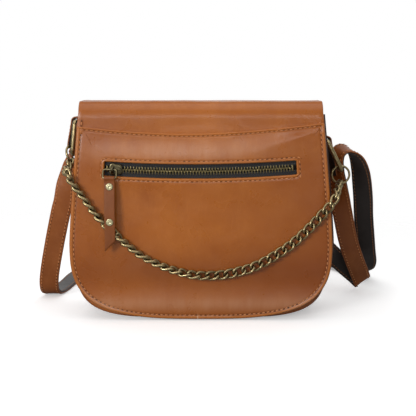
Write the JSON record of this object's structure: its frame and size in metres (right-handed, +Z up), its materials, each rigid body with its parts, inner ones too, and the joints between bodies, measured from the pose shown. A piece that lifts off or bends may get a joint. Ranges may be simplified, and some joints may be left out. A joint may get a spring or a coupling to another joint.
{
  "type": "satchel",
  "caption": "Leather satchel with a D shaped front flap, a curved zip pocket in the flap, a curb chain draped across it and a long adjustable strap on side rings.",
  "frame": {"origin": "middle of the flat bottom the bag stands on", "axes": "+X along the bag's width, to the right seen from the front; +Y from the flap towards the back; +Z up"},
  "size_m": [0.401, 0.3206, 0.2272],
  "materials": {
    "leather_tan": "semi-matte, lightly waxed",
    "leather_brown": "semi-matte",
    "lining_cloth": "matte weave",
    "black_cloth": "matte tape weave",
    "antique_brass": "antique, dark in the hollows",
    "snap_steel": "satin"
  },
  "bodies": {
    "bag": {"gusset": "leather_brown", "front_panel": "leather_tan", "back_panel": "leather_tan", "lining": "lining_cloth", "inner_pocket": "lining_cloth", "snap_socket": "snap_steel", "yoke_back": "leather_tan", "tab_left": "leather_brown", "tab_right": "leather_brown", "chain": "antique_brass", "strap_leather": "leather_brown", "strap_lining": "black_cloth"},
    "flap_top": {"yoke_top": "leather_tan"},
    "flap": {"flap_yoke": "leather_tan", "flap_panel": "leather_tan", "flap_lining": "lining_cloth", "zip_pocket": "lining_cloth", "snap_stud": "snap_steel", "zip_tape_upper": "black_cloth", "zip_tape_lower": "black_cloth", "zip_teeth_upper": "antique_brass", "zip_teeth_lower": "antique_brass", "zip_stop_left": "antique_brass", "zip_stop_right": "antique_brass"},
    "slider": {"zip_slider": "antique_brass", "zip_slider_back": "antique_brass"},
    "pull": {"zip_stirrup": "antique_brass", "pull_tab": "leather_brown", "pull_rivet_upper": "antique_brass", "pull_rivet_lower": "antique_brass"},
    "ring_left": {"d_ring_left": "antique_brass"},
    "ring_right": {"d_ring_right": "antique_brass"},
    "loop_left": {"o_ring_left": "antique_brass"},
    "loop_right": {"o_ring_right": "antique_brass"},
    "adjuster": {"strap_slider": "antique_brass"}
  },
  "joints": [
    {"name": "flap_lift", "type": "hinge", "parent": "bag", "child": "flap_top", "pos_m": [0, 0.0377, 0.2157], "axis": [-1, 0, 0], "range_deg": [0, 180], "deforming": ["chain"]},
    {"name": "flap_fold", "type": "hinge", "parent": "flap_top", "child": "flap", "pos_m": [0, -0.0475, 0.2157], "axis": [-1, 0, 0], "range_deg": [0, 90], "deforming": ["chain"]},
    {"name": "zip_slide", "type": "hinge", "parent": "flap", "child": "slider", "pos_m": [-0.008, -0.0472, 1.5063], "axis": [0, -1, 0], "range_deg": [0, 7.29]},
    {"name": "pull_swing", "type": "hinge", "parent": "slider", "child": "pull", "pos_m": [-0.09245, -0.051, 0.15859], "axis": [-1, 0, 0], "range_deg": [0, 145]},
    {"name": "d_ring_left_swing", "type": "hinge", "parent": "bag", "child": "ring_left", "pos_m": [-0.13195, 0, 0.205], "axis": [0, 1, 0], "range_deg": [0, 80], "deforming": ["strap_leather", "strap_lining", "chain"]},
    {"name": "d_ring_right_swing", "type": "hinge", "parent": "bag", "child": "ring_right", "pos_m": [0.13306, 0, 0.1845], "axis": [0, -1, 0], "range_deg": [0, 60], "deforming": ["strap_leather", "strap_lining", "chain"]},
    {"name": "o_ring_left_swing", "type": "hinge", "parent": "ring_left", "child": "loop_left", "pos_m": [-0.1356, -0.01649, 0.17297], "axis": [-0.0801, 0.7071, -0.7026], "range_deg": [-6, 10], "deforming": ["chain"]},
    {"name": "o_ring_right_swing", "type": "hinge", "parent": "ring_right", "child": "loop_right", "pos_m": [0.14876, -0.0103, 0.15434], "axis": [0, -1, 0], "range_deg": [-20, 40], "deforming": ["chain"]},
    {"name": "strap_slider_slide", "type": "slide", "parent": "bag", "child": "adjuster", "axis": [1, 0, 0], "range_m": [-0.02, 0.02], "deforming": ["strap_leather", "strap_lining"]}
  ]
}
